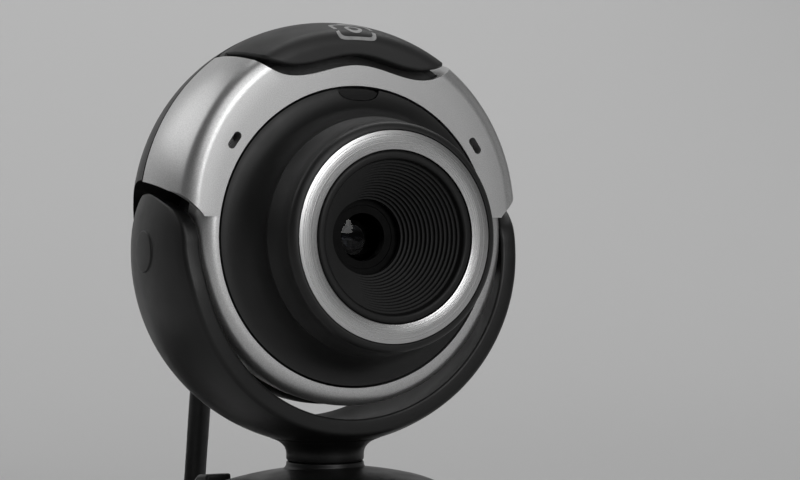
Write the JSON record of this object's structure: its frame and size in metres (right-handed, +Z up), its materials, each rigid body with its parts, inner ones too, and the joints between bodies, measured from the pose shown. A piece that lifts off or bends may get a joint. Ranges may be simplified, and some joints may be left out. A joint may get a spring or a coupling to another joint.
{
  "type": "webcam on swivelling fork stand",
  "caption": "Round-headed USB webcam tilting in a fork on a swivelling arched desk-and-monitor clip base, with focus ring, snapshot button and corded plug.",
  "frame": {"origin": "on the desk plane, under the swivel axis of the stand", "axes": "+Z up along the swivel axis; the lens looks along -Y; +X is the object's left side as seen by someone facing the lens from behind it, that is to the right in a front view"},
  "size_m": [0.0957, 0.1258, 0.0822],
  "materials": {
    "base_hub": "satin black",
    "base_cover": "satin black",
    "cover_screws": "bright",
    "front_foot_pad": "soft black",
    "hinge_pin": "bright",
    "friction_sleeve": "bright",
    "cord_run": "soft black",
    "cord_coil": "soft black",
    "cord_tie": "black",
    "cord_tail": "soft black",
    "plug_body": "soft black",
    "plug_shell": "bright nickel",
    "rear_leg": "satin black",
    "leg_foot_pad": "soft black",
    "fork": "satin black",
    "pivot_pins": "satin black",
    "friction_washers": "bright",
    "swivel_washer": "bright",
    "swivel_screw": "bright",
    "cord_drop": "soft black",
    "front_bezel": "silver paint, satin",
    "rear_shell": "satin black",
    "lens_housing": "semi-gloss black",
    "led_window": "smoked, clear",
    "status_led": "clear",
    "button_carrier": "satin black",
    "main_board": "solder-masked board",
    "image_sensor": "moulded",
    "sensor_glass": "coated",
    "lens_holder": "moulded",
    "holder_screws": "bright",
    "controller_chip": "moulded",
    "memory_chip": "moulded",
    "clock_crystal": "bright",
    "cord_header": "ivory",
    "microphone": "bright",
    "microphone_boot": "soft black",
    "slot_gauze": "fine woven",
    "snap_switch": "moulded",
    "board_screws": "bright",
    "shell_screws": "blackened",
    "pivot_bushes": "acetal",
    "strain_relief": "soft black",
    "snapshot_button": "satin black",
    "button_mark": "printed grey",
    "switch_plunger": "moulded",
    "focus_ring": "semi-gloss black",
    "trim_ring": "brushed in rings",
    "baffle_cone": "matt black",
    "focus_drag_ring": "soft black",
    "lens_cell": "black anodised",
    "front_lens": "coated",
    "middle_lens": "coated",
    "rear_lens": "coated",
    "lens_retainer": "moulded"
  },
  "bodies": {
    "base": {"base_hub": "base_hub", "base_cover": "base_cover", "cover_screws": "cover_screws", "front_foot_pad": "front_foot_pad", "hinge_pin": "hinge_pin", "friction_sleeve": "friction_sleeve", "cord_run": "cord_run", "cord_coil": "cord_coil", "cord_tie": "cord_tie", "cord_tail": "cord_tail", "plug_body": "plug_body", "plug_shell": "plug_shell"},
    "leg": {"rear_leg": "rear_leg", "leg_foot_pad": "leg_foot_pad"},
    "stand": {"fork": "fork", "pivot_pins": "pivot_pins", "friction_washers": "friction_washers", "swivel_washer": "swivel_washer", "swivel_screw": "swivel_screw", "cord_drop": "cord_drop"},
    "head": {"front_bezel": "front_bezel", "rear_shell": "rear_shell", "lens_housing": "lens_housing", "led_window": "led_window", "status_led": "status_led", "button_carrier": "button_carrier", "main_board": "main_board", "image_sensor": "image_sensor", "sensor_glass": "sensor_glass", "lens_holder": "lens_holder", "holder_screws": "holder_screws", "controller_chip": "controller_chip", "memory_chip": "memory_chip", "clock_crystal": "clock_crystal", "cord_header": "cord_header", "microphone": "microphone", "microphone_boot": "microphone_boot", "slot_gauze": "slot_gauze", "snap_switch": "snap_switch", "board_screws": "board_screws", "shell_screws": "shell_screws", "pivot_bushes": "pivot_bushes", "strain_relief": "strain_relief"},
    "button": {"snapshot_button": "snapshot_button", "button_mark": "button_mark", "switch_plunger": "switch_plunger"},
    "focus": {"focus_ring": "focus_ring", "trim_ring": "trim_ring", "baffle_cone": "baffle_cone", "focus_drag_ring": "focus_drag_ring"},
    "lens": {"lens_cell": "lens_cell", "front_lens": "front_lens", "middle_lens": "middle_lens", "rear_lens": "rear_lens", "lens_retainer": "lens_retainer"}
  },
  "joints": [
    {"name": "stand_swivel", "type": "hinge", "parent": "base", "child": "stand", "pos_m": [0, 0, 0.0204], "axis": [0, 0, 1], "range_deg": [-60, 60]},
    {"name": "head_tilt", "type": "hinge", "parent": "stand", "child": "head", "pos_m": [0, 0, 0.05], "axis": [1, 0, 0], "range_deg": [-25, 25]},
    {"name": "button_press", "type": "slide", "parent": "head", "child": "button", "axis": [0, 0, -1], "range_m": [0, 0.0006], "stiffness_N_per_m": 1500, "springref_m": -0.0003},
    {"name": "focus_turn", "type": "hinge", "parent": "head", "child": "focus", "pos_m": [0, -0.016, 0.052], "axis": [0, -1, 0], "range_deg": [-120, 120]},
    {"name": "lens_travel", "type": "slide", "parent": "focus", "child": "lens", "axis": [0, -1, 0], "range_m": [-0.00017, 0.00017]},
    {"name": "leg_fold", "type": "hinge", "parent": "base", "child": "leg", "pos_m": [0, 0.02, 0.012], "axis": [1, 0, 0], "range_deg": [-35, 20]}
  ],
  "couplings": [
    {"joint": "lens_travel", "follows": "focus_turn", "m_per_rad": 0.000079577}
  ]
}
